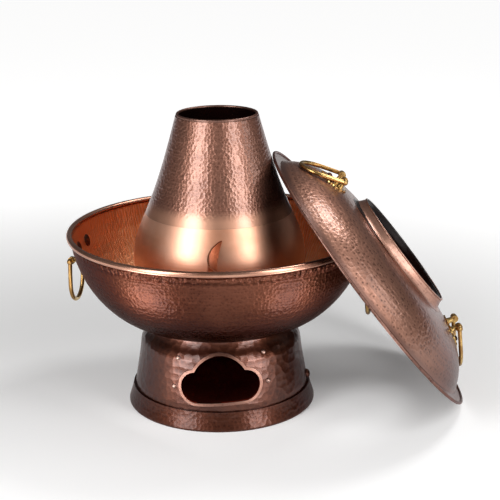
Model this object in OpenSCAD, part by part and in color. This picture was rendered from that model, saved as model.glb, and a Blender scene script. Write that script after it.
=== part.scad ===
// Chimney hot pot: a stand with a cloud-shaped air vent, an annular soup trough around a charcoal
// chamber, a tapering chimney, two curved partitions, and a domed lid that leans beside the pot.
// Sizes in mm. Z is up, the pot's axis is X = Y = 0, the stand rests on Z = 0, the vent faces -Y.

/* [Bowl] */
// Outer diameter over the rolled rim
rim_d = 340; // [300:1:380]
// Height of the rolled rim's centre
rim_h = 199; // [185:1:220]
// Diameter of the rolled rim
rim_bead = 6.8; // [5:0.1:9]
// Height of the bowl's underside at the middle
bowl_low = 96.5; // [90:0.5:104]
// Thickness of the bowl's sheet
bowl_t = 1.6; // [1.2:0.1:2.4]

/* [Stand] */
// Diameter of the foot at the floor
foot_d = 213; // [200:1:240]
// Height of the flared foot ring
foot_h = 21; // [16:1:26]
// Outer diameter of the stand where it leaves the foot ring
stand_d = 197; // [186:1:204]
// Outer diameter of the stand below its shoulder
shoulder_d = 181.5; // [172:0.5:186]
// Height at which the shoulder starts
shoulder_h = 74; // [66:1:78]
// Outer diameter of the stand's neck, which carries the bowl
neck_d = 159; // [150:1:164]
// Thickness of the stand's sheet
stand_t = 1.8; // [1.4:0.1:2.6]

/* [Vent] */
// Height of the vent's flat lower edge
vent_low = 31; // [27:1:36]
// Radius of the vent's middle lobe
lobe_mid = 30.4; // [24:0.2:33]
// Height of the middle lobe's centre
lobe_mid_h = 51.6; // [46:0.2:54]
// Radius of the two side lobes
lobe_side = 16.8; // [12:0.2:18]
// Distance of a side lobe's centre from the middle
lobe_out = 26.3; // [20:0.1:30]
// Lean of the hand-cut vent, right side up, in degrees
vent_lean = 2.5; // [0:0.5:4]
// Width of the raised trim around the vent
trim_w = 3; // [2:0.5:5]
// How far the trim stands out of the wall
trim_t = 1.3; // [0.8:0.1:2]
// Diameter of a rivet's head
rivet_d = 5.4; // [4:0.2:7]
// Sideways distance of the vent's rivets from the middle
rivet_side = 50; // [47:0.5:54]
// Height between the lower and the upper rivets
rivet_pitch = 32; // [24:1:34]

/* [Charcoal chamber and chimney] */
// Widest outer diameter of the charcoal chamber
belly_d = 192.5; // [170:0.5:200]
// Height of the widest place
belly_h = 172; // [160:1:182]
// Outer diameter where the chimney is joined to the chamber
seam_d = 163; // [150:1:170]
// Height of that joint
seam_h = 222; // [212:1:230]
// Outer diameter of the chimney's mouth
mouth_d = 90; // [76:1:110]
// Height of the whole pot
pot_h = 332; // [305:1:370]
// Thickness of the chamber's and the chimney's sheet
flue_t = 1.6; // [1.2:0.1:2.4]
// Diameter of the wire in the chimney's edge
mouth_wire = 3; // [2.4:0.1:4]
// Thickness of the charcoal grate
grate_t = 5; // [4:0.5:7]
// Width of a slot in the grate
slot_w = 6; // [4:0.5:8]
// Distance between the grate's slots
slot_pitch = 13; // [11:0.5:18]

/* [Partitions] */
// Thickness of a partition
part_t = 1.6; // [1.2:0.1:2.4]
// Sideways place of a partition's two ends
part_start = 4; // [0:0.5:8]
// How far a partition bows to the side
part_bow = 15; // [8:0.5:20]
// Height of a partition's point on the chimney
part_top = 211; // [203:0.5:216]

/* [Lid] */
// How far the lid's edge reaches past the bowl's rim
lid_over = 7; // [3:0.5:10]
// Width of the lid's brim
brim_w = 15; // [11:0.5:17]
// Height of the dome above the brim
dome_h = 40.5; // [34:0.5:52]
// Radius at which the dome ends and the collar starts
dome_in = 80; // [76:1:86]
// Height of the collar above the dome
collar_h = 12.5; // [10:0.5:20]
// Gap between the seated collar and the chimney
collar_gap = 1.4; // [1:0.5:5]
// Thickness of the lid's sheet
lid_t = 1.4; // [1:0.1:2]
// Diameter of the lid's wired edge
lid_wire = 3.4; // [2.8:0.2:4.4]
// Lean of the lid from flat, in degrees
lid_lean = 52.6; // [50:0.2:56]
// Sideways place of the leaning lid
lid_side = 3; // [-10:1:15]
// Gap between the leaning lid and what it leans on
lean_gap = 0.3; // [0.3:0.1:0.6]

/* [Handles] */
// Thickness of a ring's wire
ring_wire = 4.8; // [4:0.2:6]
// Outer width of a ring
ring_w = 51; // [46:0.5:56]
// Length of a ring from its pivot to its outer end
ring_len = 52; // [47:0.5:56]
// Distance between the outer ends of a ring's two pivot pins
pivot_w = 42; // [36:0.5:44]
// Diameter of the balls at a ring's ends
ball_d = 7.4; // [6.4:0.2:8.4]
// Diameter of a pivot pin
pin_d = 3.6; // [3:0.1:4.2]
// Radial clearance of a pivot pin in its ear
pin_gap = 0.08; // [0.04:0.01:0.1]
// Thickness of an ear
ear_t = 5; // [4:0.5:6]
// Thickness of a handle's plate
plate_t = 1.6; // [1.2:0.1:2.2]
// Height of the lid rings' pivot above the dome
lid_ear_h = 9.5; // [8:0.5:12]
// Height of the bowl rings' pivot above the wall
bowl_ear_h = 12; // [9:0.5:14]
// Radius on the lid at which its handle plates are centred
lid_plate_r = 112; // [108:0.5:116]
// Height on the bowl at which its handle plates are centred
bowl_plate_h = 170; // [164:0.5:174]
// Direction of the left bowl handle, in degrees from +X
bowl_handle_az = 169; // [150:1:180]
// Diameter of the rivet heads inside the bowl and the lid
inner_head_d = 14; // [10:0.5:15]

/* [Hidden] */
$fn = 96;
// Gap left between two pieces that are soldered or riveted together
seam = 0.1;
steps = 14;

// ---- profiles: [radius, height] points, with helpers to offset and revolve them ----
function bez(a, b, c, d) =
    [for (i = [0:steps]) let (t = i / steps, s = 1 - t)
        s * s * s * a + 3 * s * s * t * b + 3 * s * t * t * c + t * t * t * d];
function back(p) = [for (i = [len(p) - 1:-1:0]) p[i]];
function tail(p) = [for (i = [1:len(p) - 1]) p[i]];
// Moves every point of a profile sideways by d, to the right of the way it runs
function shift(p, d) =
    [for (i = [0:len(p) - 1])
        let (v = p[min(i + 1, len(p) - 1)] - p[max(i - 1, 0)], w = v / norm(v))
        p[i] + d * [w[1], -w[0]]];
function r_at(p, z) = lookup(z, [for (q = p) [q[1], q[0]]]);
function z_at(p, r) = lookup(r, [for (q = p) [q[0], q[1]]]);
module sheet(p, t) rotate_extrude() polygon(concat(p, back(shift(p, -t))));
module skin(p, from, t) sheet(shift(p, from + t), t);
module core(p) rotate_extrude() polygon(concat([[0, p[0][1]]], p, [[0, p[len(p) - 1][1]]]));

rim_r = rim_d / 2 - rim_bead / 2;
rim_top = rim_h + rim_bead / 2;
bowl_top = rim_h - rim_bead / 2 - 1;
bowl_up = rim_d / 2 - rim_bead / 2 - 1.1;
neck_r = neck_d / 2;
bowl_hole = neck_r - 5.5;
bowl_out = concat([[bowl_hole, bowl_low]],
    bez([neck_r + 0.5, bowl_low], [neck_r + 38, bowl_low + 3.5], [bowl_up - 7.5, bowl_low + 43.5],
        [bowl_up, bowl_top]));
bowl_in = shift(bowl_out, -bowl_t);
chamber_low = bowl_low + bowl_t + seam;
chamber_out = concat(
    bez([neck_r, chamber_low], [neck_r + 10, chamber_low + 21], [belly_d / 2, belly_h - 27],
        [belly_d / 2, belly_h]),
    tail(bez([belly_d / 2, belly_h], [belly_d / 2, belly_h + 16], [seam_d / 2 + 7.9, seam_h - 18],
        [seam_d / 2, seam_h])));
chimney_out = bez([seam_d / 2, seam_h], [seam_d / 2 - 15.8, seam_h + 35],
    [mouth_d / 2 + 9.8, pot_h - 35], [mouth_d / 2, pot_h]);
flue_out = concat(chamber_out, tail(chimney_out));
stand_low = 8;
stand_out = concat(
    [[stand_d / 2 + 0.6, stand_low], [stand_d / 2, foot_h + 1]],
    bez([stand_d / 2 - 0.4, foot_h + 6], [stand_d / 2 - 3, foot_h + 20], [shoulder_d / 2 + 1.6, shoulder_h - 16],
        [shoulder_d / 2, shoulder_h]),
    tail(bez([shoulder_d / 2, shoulder_h], [shoulder_d / 2 - 1.6, shoulder_h + 9], [neck_r + 0.4, bowl_low - 12],
        [neck_r, bowl_low - seam])));

// ---- the stand ----
module foot_ring() color("#6b4034") {
    // flared skirt, turned in at the floor and flanged against the stand at its top
    skirt = bez([foot_d / 2, 2.4], [foot_d / 2 - 1.5, foot_h * 0.35], [stand_d / 2 + 4.4, foot_h * 0.6],
        [stand_d / 2 + 2.6, foot_h]);
    grip = r_at(stand_out, foot_h - stand_t) + seam;
    rotate_extrude() polygon(concat(
        [[foot_d / 2 - 7, 0], [foot_d / 2 - 0.8, 0], [foot_d / 2, 0.8]], skirt,
        [[grip, foot_h], [grip, foot_h - stand_t]],
        [[stand_d / 2 + 2.6 - stand_t, foot_h - stand_t]], back(shift([for (i = [0:steps - 2]) skirt[i]], -stand_t)),
        [[foot_d / 2 - 7, stand_t]]));
}

// The vent's outline, grown by g: one middle lobe, two side lobes and a flat lower edge
module cloud(g) {
    side_h = vent_low + lobe_side;
    intersection() {
        translate([0, lobe_mid_h]) circle(lobe_mid + g);
        translate([-lobe_mid - g, vent_low - g]) square([2 * (lobe_mid + g), 2 * lobe_mid + 3 * g]);
    }
    for (s = [-1, 1]) translate([s * lobe_out, side_h]) circle(lobe_side + g);
    translate([-lobe_out, vent_low - g]) square([2 * lobe_out, lobe_side + g]);
}
// A flat shape drawn as seen from the front, pushed through the stand's front wall
module through_front(h = 60)
    translate([0, -stand_d / 2 - 12 + h, 0]) rotate([90, 0, 0])
        linear_extrude(height = h) translate([0, vent_low]) rotate(vent_lean) translate([0, -vent_low]) children();
// Places a child on the stand's wall: at height z, turned az from the front
module on_stand(az, z) {
    lean = (r_at(stand_out, z - 1) - r_at(stand_out, z + 1)) / 2;
    rotate(az - 90) translate([r_at(stand_out, z), 0, z]) rotate([0, 90 - atan(lean), 0]) children();
}
module at_vent_rivets()
    for (s = [-1, 1], k = [-0.5, 0.5]) {
        z = lobe_mid_h + 11 + s * rivet_side * sin(vent_lean) + k * rivet_pitch;
        on_stand(asin(s * (rivet_side + (k < 0 ? 1.5 : -3.5)) / r_at(stand_out, z)), z) children();
    }
// A rivet that stands up from z = 0, closes over a grip below it and has a domed head each side
module rivet(head, shank, grip, inner, inner_h) rotate_extrude() polygon(concat(
    [for (a = [90:-15:0]) [head / 2 * cos(a), seam + head * 0.36 * sin(a)]],
    [[shank / 2, seam], [shank / 2, -grip - seam]],
    [for (a = [0:-15:-90]) [inner / 2 * cos(a), -grip - seam - 0.4 + inner_h * sin(a)]]));

module stand_shell() color("#6e4436") difference() {
    sheet(stand_out, stand_t);
    through_front() cloud(0);
    at_vent_rivets() cylinder(d = rivet_d * 0.5 + 0.1, h = 12, center = true, $fn = 32);
    on_stand(-4 + 90, side_stud_h) cylinder(d = 4.1, h = 12, center = true, $fn = 32);
}

module vent_trim() color("#8a5a48") intersection() {
    skin([for (p = stand_out) if (p[1] > foot_h) p], seam, trim_t);
    through_front(h = 56) difference() {
        cloud(trim_w);
        cloud(0);
    }
}

module vent_rivets() color("#a87a66")
    at_vent_rivets() rivet(rivet_d, rivet_d * 0.5, stand_t, rivet_d * 0.8, 0.8, $fn = 32);

// A domed stud low on the right side
side_stud_h = foot_h + 6.4;
module side_stud() color("#6b4034")
    on_stand(-4 + 90, side_stud_h) rivet(11, 4, stand_t, 8, 1, $fn = 48);

module ash_floor() color("#4b3a34") {
    edge = r_at(stand_out, stand_low + 8) - stand_t - seam;
    rotate_extrude() polygon([[0, stand_low], [edge - 5, stand_low], [edge, stand_low + 2.5], [edge, stand_low + 8],
        [edge - 1.5, stand_low + 8], [edge - 1.5, stand_low + 4], [edge - 5.5, stand_low + 1.6],
        [0, stand_low + 1.6]]);
}

// ---- the bowl ----
function bowl_tilt(z) = atan((r_at(bowl_out, z + 1) - r_at(bowl_out, z - 1)) / 2);
// Places a child on the bowl's wall: z outward, y up the wall, x along the rim
module on_bowl(az, z)
    rotate(az) translate([r_at(bowl_out, z), 0, z]) rotate([0, 90 + bowl_tilt(z), 0]) rotate(90) children();
// Places a child at a handle's two rivets, each square to the wall where it stands
module at_bowl_rivets(az) {
    z = bowl_plate_h + ear_off * cos(bowl_tilt(bowl_plate_h));
    for (s = [-1, 1]) on_bowl(az + s * asin(rivet_off / r_at(bowl_out, z)), z) children();
}

module bowl_shell() color("#7a4a3a") difference() {
    sheet(bowl_out, bowl_t);
    for (az = [bowl_handle_az, bowl_handle_az + 180])
        at_bowl_rivets(az) cylinder(d = plate_rivet + 0.1, h = 14, center = true, $fn = 32);
}

module bowl_rim() color("#c98a70")
    rotate_extrude() translate([rim_r, rim_h]) circle(rim_bead / 2, $fn = 40);

// ---- the charcoal chamber and the chimney ----
module fire_chamber() color("#c8875f") sheet(chamber_out, flue_t);

chimney_end = pot_h - mouth_wire;
module chimney() color("#7d4c3c") sheet(
    concat([chimney_out[0] + [0, seam]], [for (i = [1:steps - 1]) chimney_out[i]],
        [[r_at(chimney_out, chimney_end), chimney_end]]), flue_t);

module chimney_edge() color("#8d5c4b")
    rotate_extrude() translate([mouth_d / 2 - mouth_wire / 2 + 0.2, pot_h - mouth_wire / 2])
        circle(mouth_wire / 2, $fn = 32);

grate_low = chamber_low + 3;
module grate_ring() color("#3c3431")
    rotate_extrude() translate([bowl_hole - 6, chamber_low]) square([10, 3 - seam]);

module fire_grate() color("#2e2c2b") {
    grate_r = r_at(chamber_out, grate_low) - flue_t - 1;
    rows = floor((grate_r - 10) / slot_pitch);
    difference() {
        translate([0, 0, grate_low]) cylinder(r = grate_r, h = grate_t);
        for (i = [-rows:rows])
            let (half = sqrt(pow(grate_r - 9, 2) - pow(i * slot_pitch, 2)))
                translate([i * slot_pitch - slot_w / 2, -half, grate_low - 1]) cube([slot_w, 2 * half, grate_t + 2]);
    }
}

// ---- the two curved partitions ----
// The space between the chamber and the bowl's wall, up to the partition's sloping top edge
module trough() {
    low = chamber_low + 1;
    out = min(rim_r - rim_bead / 2, bowl_up - bowl_t) - seam;
    inner = [for (p = shift(flue_out, seam)) if (p[1] > low && p[1] < part_top) p];
    outer = [for (p = bowl_in) if (p[0] > inner[0][0] + 2) [min(p[0] - seam, out), p[1] + seam]];
    mid = (r_at(flue_out, part_top) + out) / 2;
    rotate_extrude() polygon(concat(
        [[inner[0][0], z_at(bowl_in, inner[0][0]) + seam]], inner,
        [[r_at(flue_out, part_top) + seam, part_top], [mid - 14, rim_top + 3], [mid + 8, rim_h + 0.5],
         [out, rim_h - 1]],
        back(outer)));
}
module partition() {
    near = neck_r + 5.5;
    far = rim_r - rim_bead / 2;
    chord = far - near;
    bow_r = (chord * chord / 4 + part_bow * part_bow) / (2 * part_bow);
    intersection() {
        trough();
        translate([part_start - part_bow, 0, 0]) linear_extrude(height = pot_h) intersection() {
            translate([bow_r, -(near + far) / 2]) difference() {
                circle(bow_r + part_t / 2);
                circle(bow_r - part_t / 2);
            }
            translate([-part_t, -far - 20]) square([part_bow + 12, chord + 60]);
        }
    }
}
module partition_front() color("#c07a52") partition();
module partition_back() color("#c07a52") rotate(180) partition();

// ---- the ring handles: a plate with two ears, two rivets and a ring that swings in the ears ----
// On its plate the ears stand at y = -ear_off and the rivets at y = ear_off, rivet_off from the middle
ear_off = 6;
rivet_off = 15;
plate_rivet = 3.4;
ball_x = pivot_w / 2;
ear_x = ball_x - ball_d / 2 - 0.5 - ear_t / 2;
pin_hole = pin_d / 2 + pin_gap;

// Scalloped outline of a handle's plate
module plate_outline() {
    for (a = [0:30:330]) translate([19.5 * cos(a), 12 * sin(a)]) circle(5.6, $fn = 32);
    square([36, 20], center = true);
}
// The two ears on their necks, with the pivot at height h
module ears(h) difference() {
    for (s = [-1, 1]) translate([s * ear_x, -ear_off, 0]) {
        translate([0, 0, h]) rotate([0, 90, 0]) cylinder(r = ear_t * 0.85, h = ear_t, center = true, $fn = 48);
        translate([0, 0, -3]) cylinder(r1 = 4.4, r2 = ear_t / 2, h = h + 3, $fn = 48);
    }
    translate([0, -ear_off, h]) rotate([0, 90, 0]) cylinder(r = pin_hole, h = pivot_w, center = true, $fn = 48);
}
// One ring: an oval bow with a ball at each end and a pin from each ball into its ear.
// Its pivot is the X axis, and it lies in the XY plane towards -Y.
module ring() {
    bow = (ring_w - ring_wire) / 2;
    arm = ring_len - ring_w / 2;
    draw_in = bow - ball_x;
    arm_r = (arm * arm + draw_in * draw_in) / (2 * draw_in);
    turn = asin(arm / arm_r);
    translate([0, -arm, 0]) rotate(180) rotate_extrude(angle = 180)
        translate([bow, 0]) circle(ring_wire / 2, $fn = 32);
    for (s = [0, 1]) mirror([s, 0, 0]) {
        translate([bow - arm_r, -arm, 0]) rotate_extrude(angle = turn)
            translate([arm_r, 0]) circle(ring_wire / 2, $fn = 32);
        translate([ball_x, 0, 0]) sphere(d = ball_d, $fn = 48);
        translate([ear_x - ear_t / 2 - 1, 0, 0]) rotate([0, 90, 0]) cylinder(d = pin_d, h = ball_x - ear_x + ear_t / 2 + 1, $fn = 48);
    }
}

// Bowl handles
module bowl_plate(az) difference() {
    union() {
        intersection() {
            skin(bowl_out, seam, plate_t);
            on_bowl(az, bowl_plate_h) translate([0, 0, -12]) linear_extrude(height = 24) plate_outline();
        }
        difference() {
            on_bowl(az, bowl_plate_h) ears(bowl_ear_h);
            core(shift(bowl_out, seam + plate_t / 2));
        }
    }
    at_bowl_rivets(az) cylinder(d = plate_rivet + 0.1, h = 14, center = true, $fn = 32);
}
module bowl_rivets(az)
    at_bowl_rivets(az) translate([0, 0, plate_t + seam])
        rivet(6.4, plate_rivet, plate_t + bowl_t + seam, inner_head_d, 1.4, $fn = 40);
module bowl_ring(az)
    on_bowl(az, bowl_plate_h) translate([0, -ear_off, bowl_ear_h]) rotate([-bowl_tilt(bowl_plate_h), 0, 0]) ring();

module bowl_plate_left() color("#b8892f") bowl_plate(bowl_handle_az);
module bowl_plate_right() color("#b8892f") bowl_plate(bowl_handle_az + 180);
module bowl_rivets_left() color("#8a4a30") bowl_rivets(bowl_handle_az);
module bowl_rivets_right() color("#8a4a30") bowl_rivets(bowl_handle_az + 180);
module bowl_ring_left() color("#c9a24a") bowl_ring(bowl_handle_az);
module bowl_ring_right() color("#c9a24a") bowl_ring(bowl_handle_az + 180);

// ---- the lid, drawn flat on its own axis and then leant against the chimney ----
// Its Z = 0 is the brim's underside, which sits on the bowl's rim when the lid is on
lid_r = rim_d / 2 + lid_over;
brim_in = lid_r - brim_w;
collar_top = dome_h + collar_h;
collar_r = r_at(chimney_out, rim_top + collar_top) + collar_gap + lid_t;
wire_r = lid_r - lid_wire / 2;
brim_end = wire_r - lid_wire / 2 - seam / 2;
lid_out = concat(
    back(concat([[brim_end, lid_t], [brim_in + 1, lid_t + 0.2]],
        tail(bez([brim_in, lid_t + 0.6], [brim_in - 15, dome_h * 0.66], [dome_in + 38, dome_h * 0.98],
            [dome_in, dome_h + 0.4])))));
collar_out = bez([dome_in - seam, dome_h + 0.6], [dome_in - 6, dome_h + 1.6], [collar_r + 2.5, dome_h + 5],
    [collar_r, collar_top - 1.6]);
lid_at = let (reach = sqrt(wire_r * wire_r - lid_side * lid_side),
              up = wire_r * sin(lid_lean) + lid_wire / 2 + lean_gap,
              tip_h = up + reach * sin(lid_lean),
              slope = (r_at(chimney_out, tip_h - 2) - r_at(chimney_out, tip_h + 2)) / 4)
    [r_at(chimney_out, tip_h) + (lid_wire / 2 + lean_gap) * sqrt(1 + slope * slope) + reach * cos(lid_lean)
        - lid_t * sin(lid_lean),
     lid_side, up - lid_t * cos(lid_lean)];
module lean() translate(lid_at) rotate([0, lid_lean, 0]) children();

function dome_tilt(r) = atan((z_at(lid_out, r - 1) - z_at(lid_out, r + 1)) / 2);
// Places a child on the dome: z outward, y towards the brim, x along the brim
module on_dome(az, r)
    rotate(az) translate([r, 0, z_at(lid_out, r)]) rotate([0, dome_tilt(r), 0]) rotate(-90) children();
module at_lid_rivets(az) {
    r = lid_plate_r + ear_off * cos(dome_tilt(lid_plate_r));
    for (s = [-1, 1]) on_dome(az + s * asin(rivet_off / r), r) children();
}

module lid_shell() color("#744637") lean() difference() {
    rotate_extrude() polygon(concat(lid_out, back(shift(lid_out, lid_t))));
    for (az = [0, 180]) at_lid_rivets(az) cylinder(d = plate_rivet + 0.1, h = 14, center = true, $fn = 32);
}
module lid_edge() color("#9a6a58") lean()
    rotate_extrude() translate([wire_r, lid_t]) circle(lid_wire / 2, $fn = 32);
module lid_collar() color("#7d4c3c") lean() {
    sheet(collar_out, lid_t);
    rotate_extrude() translate([collar_r - lid_t / 2, collar_top - 1.2]) circle(1.2, $fn = 32);
}

// How far a lid ring droops below its pivot until it lies on the dome, found by halving the range
function ring_gap(a) = let (p = lid_plate_r - ear_off * cos(dome_tilt(lid_plate_r)) + lid_ear_h * sin(dome_tilt(lid_plate_r)),
        h = z_at(lid_out, lid_plate_r) + ear_off * sin(dome_tilt(lid_plate_r)) + lid_ear_h * cos(dome_tilt(lid_plate_r)),
        bow = (ring_w - ring_wire) / 2, arm = ring_len - ring_w / 2)
    min([for (s = [0:10:90]) let (d = arm + bow * cos(s), x = bow * sin(s),
        r = norm([p + d * cos(a), x]), t = dome_tilt(min(r, brim_in - 1)))
        (h - d * sin(a) - z_at(lid_out, r)) * cos(t) - ring_wire / 2]);
function droop(lo, hi, n) = n == 0 ? lo : let (m = (lo + hi) / 2)
    ring_gap(m) > lean_gap ? droop(m, hi, n - 1) : droop(lo, m, n - 1);
lid_droop = droop(0, 60, 16);

module lid_plate(az) lean() difference() {
    union() {
        intersection() {
            rotate_extrude() polygon(concat(shift(lid_out, -seam), back(shift(lid_out, -seam - plate_t))));
            on_dome(az, lid_plate_r) translate([0, 0, -12]) linear_extrude(height = 24) plate_outline();
        }
        difference() {
            on_dome(az, lid_plate_r) ears(lid_ear_h);
            rotate_extrude() polygon(concat([[0, -9], [lid_r, -9]],
                back(shift(lid_out, -seam - plate_t / 2)), [[0, dome_h + 1]]));
        }
    }
    at_lid_rivets(az) cylinder(d = plate_rivet + 0.1, h = 14, center = true, $fn = 32);
}
module lid_rivets(az) lean()
    at_lid_rivets(az) translate([0, 0, plate_t + seam])
        rivet(6.4, plate_rivet, plate_t + lid_t + seam, inner_head_d, 1.4, $fn = 40);
module lid_ring(az) lean()
    on_dome(az, lid_plate_r) translate([0, -ear_off, lid_ear_h])
        rotate([dome_tilt(lid_plate_r) - lid_droop, 0, 0]) rotate(180) ring();

module lid_plate_upper() color("#b8892f") lid_plate(180);
module lid_plate_lower() color("#b8892f") lid_plate(0);
module lid_rivets_upper() color("#8a4a30") lid_rivets(180);
module lid_rivets_lower() color("#8a4a30") lid_rivets(0);
module lid_ring_upper() color("#c9a24a") lid_ring(180);
module lid_ring_lower() color("#c9a24a") lid_ring(0);

foot_ring();
stand_shell();
vent_trim();
vent_rivets();
side_stud();
ash_floor();
bowl_shell();
bowl_rim();
fire_chamber();
chimney();
chimney_edge();
grate_ring();
fire_grate();
partition_front();
partition_back();
bowl_plate_left();
bowl_plate_right();
bowl_rivets_left();
bowl_rivets_right();
bowl_ring_left();
bowl_ring_right();
lid_shell();
lid_edge();
lid_collar();
lid_plate_upper();
lid_plate_lower();
lid_rivets_upper();
lid_rivets_lower();
lid_ring_upper();
lid_ring_lower();
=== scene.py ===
import math

import bmesh
import bpy
from mathutils import Matrix, Vector


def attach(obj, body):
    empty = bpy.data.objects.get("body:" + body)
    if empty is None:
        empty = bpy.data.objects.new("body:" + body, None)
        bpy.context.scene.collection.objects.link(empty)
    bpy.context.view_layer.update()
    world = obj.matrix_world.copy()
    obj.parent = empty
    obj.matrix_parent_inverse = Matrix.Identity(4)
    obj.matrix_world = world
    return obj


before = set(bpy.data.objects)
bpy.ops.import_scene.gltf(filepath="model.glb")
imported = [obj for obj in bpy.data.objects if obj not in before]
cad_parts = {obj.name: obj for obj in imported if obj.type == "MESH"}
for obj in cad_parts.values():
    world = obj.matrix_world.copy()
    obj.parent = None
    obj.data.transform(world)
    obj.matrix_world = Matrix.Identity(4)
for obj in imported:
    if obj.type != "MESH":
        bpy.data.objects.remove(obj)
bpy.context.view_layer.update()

# ---- The studio ----
# A pale floor, an upright softbox at each side of the camera, a small low one under the bowl at
# each side, one over the lid and one beside it. The camera stands where the photograph was taken.

scene = bpy.context.scene
scene.view_settings.view_transform = "Standard"


def add(tree, kind, settings=None, **sockets):
    """A shader node with its settings; each socket gets a number, a colour or another node's output.

    A socket is named by its words, with _ for a space, or by i and its number.
    """
    made = tree.nodes.new("ShaderNode" + kind)
    for key, value in (settings or {}).items():
        setattr(made, key, value)
    for key, value in sockets.items():
        if key[1:].isdigit():
            socket = made.inputs[int(key[1:])]
        else:
            socket = made.inputs[key.replace("_", " ")]
        if isinstance(value, bpy.types.NodeSocket):
            tree.links.new(value, socket)
        else:
            socket.default_value = value
    return made


def reckon(tree, work, first, second=0.0, third=0.0):
    """One step of arithmetic on the surface's values."""
    return add(tree, "Math", {"operation": work}, i0=first, i1=second, i2=third).outputs[0]


def ramp(tree, value, low, high, start=0.0, end=1.0):
    """A value stretched from one span to another and held inside it."""
    eased = {"interpolation_type": "SMOOTHSTEP"}
    return add(tree, "MapRange", eased, Value=value, i1=low, i2=high, i3=start, i4=end).outputs[0]


def softbox(name, turn, rise, far, aim, width, height, glow):
    """A rectangular light: turned about the pot from the front, risen from level, far from its aim.

    The angles are in degrees, the lengths in metres. glow is how bright its face is, where 1 is a
    white surface. The camera doesn't see the lamp itself.
    """
    lamp = bpy.data.lights.new(name, "AREA")
    lamp.shape = "RECTANGLE"
    lamp.size = width
    lamp.size_y = height
    lamp.energy = glow * math.pi * width * height
    turn = math.radians(turn)
    rise = math.radians(rise)
    level = math.cos(rise)
    away = Vector((math.sin(turn) * level, -math.cos(turn) * level, math.sin(rise)))
    lit = bpy.data.objects.new(name, lamp)
    lit.location = Vector(aim) + away * far
    lit.rotation_mode = "QUATERNION"
    lit.rotation_quaternion = (-away).to_track_quat("-Z", "Y")
    lit.visible_camera = False
    scene.collection.objects.link(lit)


# The camera's place in metres, its direction to the right and its line of sight.
camera_at = (0.011696, -1.414927, 0.598391)
camera_right = Vector((0.99976393, -0.01911468, -0.01033066))
camera_ahead = Vector((0.01534847, 0.95783675, -0.28690274))
lens = bpy.data.cameras.new("camera")
lens.lens = 94.53
lens.sensor_width = 36
lens.clip_end = 60
eye = bpy.data.objects.new("camera", lens)
axes = Matrix((camera_right, camera_right.cross(camera_ahead), -camera_ahead)).transposed()
eye.matrix_world = Matrix.Translation(camera_at) @ axes.to_4x4()
scene.collection.objects.link(eye)
scene.camera = eye

pot_middle = (0, 0, 0.2)
softbox("left_softbox", turn=-43, rise=20, far=1.1, aim=pot_middle, width=0.46, height=1.15, glow=7.0)
softbox("right_softbox", turn=42, rise=20, far=1.1, aim=pot_middle, width=0.32, height=1.15, glow=6.8)
softbox("lid_softbox", turn=130, rise=60, far=1.2, aim=(0.17, 0, 0.2), width=0.36, height=0.45, glow=10.0)
softbox("left_low_softbox", turn=-43, rise=-45, far=0.12, aim=(-0.089, -0.095, 0.16),
        width=0.082, height=0.082, glow=6.8)
softbox("right_low_softbox", turn=41, rise=-45, far=0.12, aim=(0.085, -0.098, 0.16),
        width=0.07, height=0.082, glow=5.4)
softbox("side_softbox", turn=76, rise=30, far=1.3, aim=(0.22, 0, 0.15), width=0.4, height=0.6, glow=2.5)

world = bpy.data.worlds.new("studio")
world.use_nodes = True
scene.world = world
room = world.node_tree.nodes["Background"]
room.inputs["Color"].default_value = (1, 0.98, 0.96, 1)
room.inputs["Strength"].default_value = 0.13

floor_radius = 9
ground = bmesh.new()
bmesh.ops.create_circle(ground, cap_ends=True, segments=64, radius=floor_radius)
floor_mesh = bpy.data.meshes.new("floor")
ground.to_mesh(floor_mesh)
ground.free()
floor = bpy.data.objects.new("floor", floor_mesh)
scene.collection.objects.link(floor)

# The floor glows, weakly near the pot and strongly further away. Only camera, glossy and
# transmission rays see the glow: the metal mirrors it, but it throws no light.
glow_from, glow_to = 0.25, 1.3
glow_near, glow_far = 0.12, 0.85
floor_grey = (0.86, 0.86, 0.86, 1)
pale = bpy.data.materials.new("pale_floor")
pale.use_nodes = True
tree = pale.node_tree
tree.nodes.clear()
paths = add(tree, "LightPath").outputs
seen = reckon(tree, "MAXIMUM", paths["Is Camera Ray"], paths["Is Glossy Ray"])
seen = reckon(tree, "MAXIMUM", seen, paths["Is Transmission Ray"])
spot = add(tree, "TexCoord").outputs["Object"]
outwards = add(tree, "VectorMath", {"operation": "LENGTH"}, i0=spot).outputs["Value"]
strength = ramp(tree, outwards, glow_from, glow_to, glow_near, glow_far)
lift = add(tree, "Emission", Color=(1, 1, 1, 1), Strength=strength).outputs[0]
lit_floor = add(tree, "BsdfDiffuse", Color=floor_grey).outputs[0]
both = add(tree, "AddShader", i0=lift, i1=lit_floor).outputs[0]
shown = add(tree, "MixShader", i0=seen, i1=lit_floor, i2=both).outputs[0]
add(tree, "OutputMaterial", Surface=shown)
floor_mesh.materials.append(pale)

# ---- Foot ring, stand, air vent and its trim ----
# Sheet copper raised over a stake with a small hammer, then darkened to a red-brown patina
# and lacquered. Every hammer mark is a little darker in its middle than on its edge.


def new_metal(name):
    """A material with one metal shader; gives back the material, its tree and the shader."""
    made = bpy.data.materials.new(name)
    made.use_nodes = True
    shader = made.node_tree.nodes["Principled BSDF"]
    shader.inputs["Metallic"].default_value = 1.0
    return made, made.node_tree, shader


def place(tree, at=(0, 0, 0), lean=0.0, stretch=(1, 1, 1)):
    """The point on the piece, in metres from its own axis, with the lid's lean taken out."""
    spot = add(tree, "TexCoord").outputs["Object"]
    if any(at) or lean:
        back = {"vector_type": "TEXTURE"}
        spot = add(tree, "Mapping", back, Vector=spot, Location=at, Rotation=(0, lean, 0)).outputs[0]
    if stretch != (1, 1, 1):
        spot = add(tree, "Mapping", Vector=spot, Scale=stretch).outputs[0]
    return spot


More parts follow.
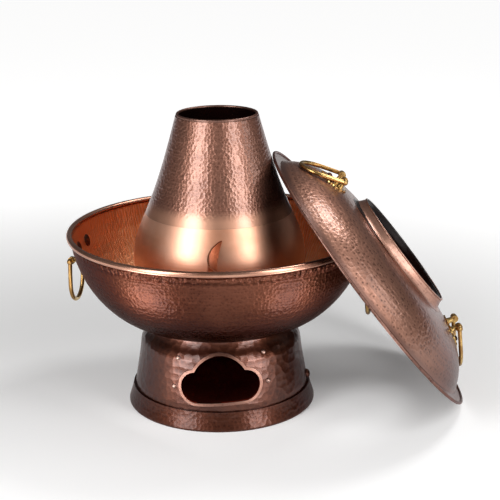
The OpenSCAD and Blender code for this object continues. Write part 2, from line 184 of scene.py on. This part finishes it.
def height_of(tree, spot):
    """How high a point is."""
    return add(tree, "SeparateXYZ", Vector=spot).outputs["Z"]


def blend(tree, share, first, second):
    """A colour between two, by the share of the second."""
    return add(tree, "Mix", {"data_type": "RGBA"}, i0=share, i6=first, i7=second).outputs[2]


def noise(tree, spot, scale, detail=3.0, rough=0.55):
    """A cloudy value of about 0.3 to 0.7."""
    return add(tree, "TexNoise", Vector=spot, Scale=scale, Detail=detail, Roughness=rough).outputs[0]


def dents(tree, spot, size):
    """How far a point is from the middle of its hammer mark, 0 to about 0.7."""
    cells = {"feature": "SMOOTH_F1"}
    marks = add(tree, "TexVoronoi", cells, Vector=spot, Scale=1 / size, Smoothness=0.3, Randomness=0.75)
    return marks.outputs["Distance"]


def inside(tree, spot, axis=None):
    """1 where a face looks towards the piece's axis, or away from the given direction; else 0.

    The lid's lean isn't taken out of the face's direction. On the collar this still tells the two
    sides of the wall apart, though not those of its turned foot and lip.
    """
    against = axis or add(tree, "VectorMath", {"operation": "MULTIPLY"}, i0=spot, i1=(1, 1, 0)).outputs[0]
    normal = add(tree, "TexCoord").outputs["Normal"]
    facing = add(tree, "VectorMath", {"operation": "DOT_PRODUCT"}, i0=normal, i1=against)
    return reckon(tree, "LESS_THAN", facing.outputs["Value"], 0.0)


def antique(name, deep=(0.045, 0.009, 0.0035), worn=(0.12, 0.036, 0.018), mark=0.0036, depth=0.0003,
            dot=0.4, bands=0.0, lines=0.00002, rough=0.42, coat=0.5, soot=None, axis=None, fade=None,
            bare=(0.5, 0.24, 0.15), low=None, at=(0, 0, 0), lean=0.0):
    """Dark hammered copper under lacquer. Lengths are in metres.

    deep, worn    the patina's colour, and its colour where it is rubbed
    mark, depth   width of a hammer mark, and about twice the depth of its hollow
    dot           how much more a mark's edge is rubbed than its middle
    bands, lines  strength of the broad upright lighter and darker bands, and depth of the fine turned lines
    rough, coat   roughness of the metal, and weight of the lacquer
    soot, axis    colour of the inner side, and the direction that an inner face turns away from
    fade, bare    heights between which the marks die away downward, into the bare colour
    low           heights over the ground between which a painted shade darkens the colour downward
    at, lean      place and lean of the lid's axis, for the pieces of the lid
    """
    line_grain, stain_grain = (14, 14, 800), (11, 11, 2)  # spots to the metre, along X, Y and Z
    cloud_grain, wave_grain = 26, 60
    wave_depth = 0.0002
    mark_middle, mark_edge = 0.1, 0.42
    thin, thick = 0.3, 0.75
    painted_shade_colour = (0.02, 0.006, 0.003, 1)
    made, tree, shader = new_metal(name)
    spot = place(tree, at, lean)
    near = dents(tree, spot, mark)
    turned = noise(tree, place(tree, at, lean, line_grain), 1.0, 4.0)
    cloudy = noise(tree, spot, cloud_grain, 5.0)
    on_edges = ramp(tree, near, mark_middle, mark_edge, 0.0, dot)
    in_clouds = ramp(tree, cloudy, thin, thick, 0.0, 0.3)
    in_lines = ramp(tree, turned, 0.3, 0.7, -0.12, 0.14)
    rubbed = reckon(tree, "ADD", reckon(tree, "ADD", on_edges, in_clouds), in_lines)
    if bands:
        broad = noise(tree, place(tree, at, lean, stain_grain), 1.0, 2.0)
        rubbed = reckon(tree, "ADD", rubbed, ramp(tree, broad, 0.38, 0.62, -bands / 2, bands))
    colour = blend(tree, rubbed, (*deep, 1), (*worn, 1))
    # Painted shade: below the heights in low the colour darkens towards the ground.
    if low:
        painted_shade_share = ramp(tree, height_of(tree, place(tree)), *low, 0.75, 0.0)
        colour = blend(tree, painted_shade_share, colour, painted_shade_colour)
    roughness = ramp(tree, cloudy, thin, thick, rough + 0.05, rough - 0.04)
    hollow = reckon(tree, "MULTIPLY", near, near)
    if fade:
        keep = ramp(tree, height_of(tree, spot), *fade)
        colour = blend(tree, keep, (*bare, 1), colour)
        hollow = reckon(tree, "MULTIPLY", hollow, keep)
    if soot:
        thick_soot = [share * 0.4 for share in soot]
        within = inside(tree, spot, axis)
        sooty = blend(tree, cloudy, (*soot, 1), (*thick_soot, 1))
        colour = blend(tree, within, colour, sooty)
        roughness = reckon(tree, "MULTIPLY_ADD", within, 0.25, roughness)
    beaten = add(tree, "Bump", Height=hollow, Distance=depth).outputs[0]
    waves = noise(tree, spot, wave_grain, 2.0)
    waved = add(tree, "Bump", Height=waves, Distance=wave_depth, Normal=beaten).outputs[0]
    lined = add(tree, "Bump", Height=turned, Distance=lines, Normal=waved).outputs[0]
    tree.links.new(colour, shader.inputs["Base Color"])
    tree.links.new(roughness, shader.inputs["Roughness"])
    tree.links.new(lined, shader.inputs["Normal"])
    tree.links.new(lined, shader.inputs["Coat Normal"])
    shader.inputs["Specular Tint"].default_value = (0.3, 0.12, 0.08, 1)
    shader.inputs["Coat Weight"].default_value = coat
    shader.inputs["Coat Roughness"].default_value = 0.24
    return made


def dress(material, *names):
    """Gives CAD nodes their finish."""
    for name in names:
        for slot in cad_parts[name].material_slots:
            slot.material = material


stand_copper = antique("stand_copper", mark=0.0075, depth=0.00055, bands=0.4, coat=0.75,
                       soot=(0.6, 0.08, 0.04))
foot_copper = antique("foot_copper", mark=0.0045, coat=0.55)
trim_copper = antique("trim_copper", deep=(0.16, 0.07, 0.05), worn=(0.36, 0.18, 0.13), mark=0.004,
                      depth=0.00006)
stud_copper = antique("stud_copper", mark=0.004, depth=0.00006)
rivet_copper = antique("rivet_copper", deep=(0.2, 0.09, 0.07), worn=(0.55, 0.36, 0.29), mark=0.002,
                       depth=0.00006)
ash_floor_copper = antique("ash_floor_copper", deep=(0.2, 0.035, 0.02), worn=(0.4, 0.07, 0.04), rough=0.55)
dress(stand_copper, "stand_shell")
dress(foot_copper, "foot_ring")
dress(trim_copper, "vent_trim")
dress(stud_copper, "side_stud")
dress(rivet_copper, "vent_rivets")
dress(ash_floor_copper, "ash_floor")

# ---- Bowl and its rolled rim ----
# One sheet raised into a bowl, with a rolled rim. Outside it is dark and hammered, and crimped in
# a band under the rim; inside it is bright, with upright rows of narrow hammer marks, bumped and painted
# paler as a painted highlight.


def round_the_axis(tree, spot, radius, width, height):
    """Where a point is on a round wall of this radius, counted in marks of this width and height."""
    parts = add(tree, "SeparateXYZ", Vector=spot).outputs
    turn = reckon(tree, "ARCTAN2", parts["X"], reckon(tree, "MULTIPLY", parts["Y"], -1.0))
    across = reckon(tree, "MULTIPLY", turn, radius / width)
    up = reckon(tree, "MULTIPLY", parts["Z"], 1 / height)
    return add(tree, "CombineXYZ", X=across, Y=up).outputs[0]


def bright(name, colour=(0.80, 0.44, 0.30), tint=(0.70, 0.31, 0.18), rough=0.40):
    """Polished copper, brushed round its axis, with a little tarnish of the tint."""
    brush_grain, cloud_grain = (9, 9, 1400), 20
    scratch_depth = 0.000008
    made, tree, shader = new_metal(name)
    brushed = noise(tree, place(tree, stretch=brush_grain), 1.0, 5.0, 0.7)
    cloudy = noise(tree, place(tree), cloud_grain, 4.0)
    tarnished = blend(tree, ramp(tree, cloudy, 0.35, 0.75), (*colour, 1), (*tint, 1))
    roughness = ramp(tree, brushed, 0.2, 0.8, rough - 0.05, rough + 0.06)
    streaked = add(tree, "Bump", Height=brushed, Distance=scratch_depth).outputs[0]
    tree.links.new(tarnished, shader.inputs["Base Color"])
    tree.links.new(roughness, shader.inputs["Roughness"])
    tree.links.new(streaked, shader.inputs["Normal"])
    return made


# The outside gets a painted shade that darkens it towards its bottom (low).
bowl_copper = antique("bowl_copper", worn=(0.15, 0.05, 0.028), depth=0.0005, dot=0.45, bands=0.3,
                      lines=0.00007, coat=0.2, low=(0.11, 0.17))
tree = bowl_copper.node_tree
shader = tree.nodes["Principled BSDF"]
outer_colour = shader.inputs["Base Color"].links[0].from_socket
outer_roughness = shader.inputs["Roughness"].links[0].from_socket
outer_normal = shader.inputs["Normal"].links[0].from_socket
spot = place(tree)
up = height_of(tree, spot)

# The inner side. At this scale the wave texture has one row to each mark's width.
one_row = 0.314
orange, deep_orange, stroke_painted_highlight = (0.95, 0.46, 0.22, 1), (0.84, 0.32, 0.125, 1), (0.95, 0.62, 0.42, 1)
stroke_depth, inner_rough = 0.0003, 0.34
strokes = round_the_axis(tree, spot, radius=0.145, width=0.0034, height=0.007)
rows = add(tree, "TexWave", {"wave_type": "BANDS", "bands_direction": "X"}, Vector=strokes, Scale=one_row,
           Distortion=8.0, Detail=2.0, Detail_Scale=0.8, Detail_Roughness=0.6).outputs["Fac"]
cloudy = ramp(tree, noise(tree, spot, 22, 4.0), 0.3, 0.75)
inner_colour = blend(tree, cloudy, orange, deep_orange)
# Painted highlight: each row of marks is painted a paler pink along its middle, besides its bump.
inner_colour = blend(tree, ramp(tree, rows, 0.3, 0.95, 0.0, 0.5), inner_colour, stroke_painted_highlight)
inner_normal = add(tree, "Bump", Height=rows, Distance=stroke_depth).outputs[0]

# The crimped band of the outer side: the heights over which it comes up, and dies away again.
band_foot, band_head = (0.185, 0.1905), (0.1925, 0.1955)
crimp_depth = 0.004
band = reckon(tree, "MULTIPLY", ramp(tree, up, *band_foot), ramp(tree, up, *band_head, 1.0, 0.0))
crimps = noise(tree, round_the_axis(tree, spot, radius=0.165, width=0.006, height=0.009), 1.0, 2.0)
crimped = reckon(tree, "MULTIPLY", crimps, band)
outer_normal = add(tree, "Bump", Height=crimped, Distance=crimp_depth, Normal=outer_normal).outputs[0]

within = inside(tree, spot)
roughness = add(tree, "Mix", i0=within, i2=outer_roughness, i3=inner_rough).outputs[0]
normal = add(tree, "Mix", {"data_type": "VECTOR"}, i0=within, i4=outer_normal, i5=inner_normal).outputs[1]
tree.links.new(blend(tree, within, outer_colour, inner_colour), shader.inputs["Base Color"])
tree.links.new(roughness, shader.inputs["Roughness"])
tree.links.new(normal, shader.inputs["Normal"])
tree.links.new(normal, shader.inputs["Coat Normal"])
dress(bowl_copper, "bowl_shell")


def turned_edge(name, inner, outer, bottom, top, finish):
    """The last millimetres of a round sheet of the pot, between two radii and two heights."""
    work = bmesh.new()
    corners = [(inner, bottom), (outer, bottom), (outer, top), (inner, top)]
    ring = [work.verts.new((radius, 0, z)) for radius, z in corners]
    edges = [work.edges.new((ring[i - 1], ring[i])) for i in range(len(ring))]
    bmesh.ops.spin(work, geom=ring + edges, cent=(0, 0, 0), axis=(0, 0, 1), angle=2 * math.pi,
                   steps=128, use_merge=True)
    bmesh.ops.remove_doubles(work, verts=work.verts[:], dist=1e-7)
    bmesh.ops.recalc_face_normals(work, faces=work.faces[:])
    mesh = bpy.data.meshes.new(name)
    work.to_mesh(mesh)
    work.free()
    mesh.materials.append(finish)
    made = bpy.data.objects.new(name, mesh)
    scene.collection.objects.link(made)
    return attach(made, "pot")


# The sheet goes on up into the rolled rim, past the small step that the solids have there.
turned_edge("bowl_turned_edge", inner=0.1642, outer=0.1655, bottom=0.1944, top=0.1962, finish=bowl_copper)
rim_copper = bright("rim_copper", colour=(0.58, 0.31, 0.22), tint=(0.40, 0.18, 0.115), rough=0.26)
dress(rim_copper, "bowl_rim")

# ---- Charcoal chamber, chimney and grate ----
# The chamber is spun and polished. The chimney above it is hammered and dark like the outside of
# the bowl, and sooty inside; its patina dies away at the joint. The charcoal lies on an iron grate.

chimney_copper = antique("chimney_copper", deep=(0.14, 0.05, 0.031), worn=(0.36, 0.17, 0.115), mark=0.0032,
                         depth=0.00036, coat=1.0, soot=(0.02, 0.004, 0.003), fade=(0.227, 0.241),
                         bare=(0.56, 0.29, 0.19))
mouth_copper = antique("chimney_edge_copper", deep=(0.12, 0.05, 0.035), worn=(0.3, 0.16, 0.12),
                       mark=0.003, depth=0.00004)
grate_iron = antique("grate_iron", deep=(0.02, 0.018, 0.017), worn=(0.09, 0.085, 0.08), rough=0.55)
dress(bright("chamber_copper"), "fire_chamber")
dress(chimney_copper, "chimney")
turned_edge("chimney_turned_edge", inner=0.0436, outer=0.0449, bottom=0.3288, top=0.3302,
            finish=chimney_copper)
dress(mouth_copper, "chimney_edge")
dress(grate_iron, "grate_ring", "fire_grate")

# ---- Dividers of the bowl ----
# Two strips of bright copper that part the soup. They are curved in plan, and soldered between
# the chamber and the bowl, one in front and one behind.

divider_copper = bright("divider_copper", colour=(0.6, 0.3, 0.19), tint=(0.42, 0.18, 0.1), rough=0.3)
dress(divider_copper, "partition_front", "partition_back")

# ---- Ring handles, their plates and rivets ----
# The rings and the scalloped plates with their ears are cast yellow brass, worn bright where
# hands touch them and brown in the hollows. Dark copper rivets hold the plates to the sheet.


def brass(name):
    """Cast brass with brown tarnish."""
    yellow, brown = (0.62, 0.42, 0.16, 1), (0.34, 0.19, 0.065, 1)
    tarnish_grain, cast_grain = 60, 500
    cast_depth = 0.00003
    made, tree, shader = new_metal(name)
    spot = place(tree)
    tarnish = noise(tree, spot, tarnish_grain, 4.0)
    colour = blend(tree, ramp(tree, tarnish, 0.38, 0.62), yellow, brown)
    roughness = ramp(tree, tarnish, 0.3, 0.7, 0.2, 0.36)
    grainy = add(tree, "Bump", Height=noise(tree, spot, cast_grain), Distance=cast_depth).outputs[0]
    tree.links.new(colour, shader.inputs["Base Color"])
    tree.links.new(roughness, shader.inputs["Roughness"])
    tree.links.new(grainy, shader.inputs["Normal"])
    return made


dress(brass("handle_brass"), "bowl_plate_left", "bowl_plate_right", "bowl_ring_left", "bowl_ring_right",
      "lid_plate_upper", "lid_plate_lower", "lid_ring_upper", "lid_ring_lower")
dress(antique("head_copper", mark=0.003, depth=0.00006), "bowl_rivets_left", "bowl_rivets_right",
      "lid_rivets_upper", "lid_rivets_lower")

# ---- Lid ----
# A domed ring of hammered dark copper with a smooth brim, a wired edge and a plain collar
# that goes over the chimney. It leans on the pot's right side, and is dark inside.

# The middle of the brim's underside, and how far the lid's own axis leans to the right.
lid_at = (0.167352, 0.003, 0.140411)
lid_lean = math.radians(52.6)
lid_axis = (math.sin(lid_lean), 0.0, math.cos(lid_lean))
# The lid gets a painted shade that darkens it towards the ground (low).
lid_copper = antique("lid_copper", deep=(0.10, 0.04, 0.027), worn=(0.42, 0.21, 0.145), mark=0.0042, dot=0.75,
                     coat=0.8, soot=(0.05, 0.015, 0.01), axis=lid_axis, fade=(0.0032, 0.0075),
                     bare=(0.2, 0.10, 0.075), low=(0.02, 0.16), at=lid_at, lean=lid_lean)
collar_copper = antique("collar_copper", deep=(0.26, 0.12, 0.08), worn=(0.6, 0.33, 0.24), mark=0.004,
                        depth=0.00003, coat=0.8, soot=(0.02, 0.006, 0.004), at=lid_at, lean=lid_lean)
lid_edge_copper = antique("lid_edge_copper", worn=(0.3, 0.15, 0.11), mark=0.004, depth=0.00003,
                          at=lid_at, lean=lid_lean)
dress(lid_copper, "lid_shell")
dress(collar_copper, "lid_collar")
dress(lid_edge_copper, "lid_edge")
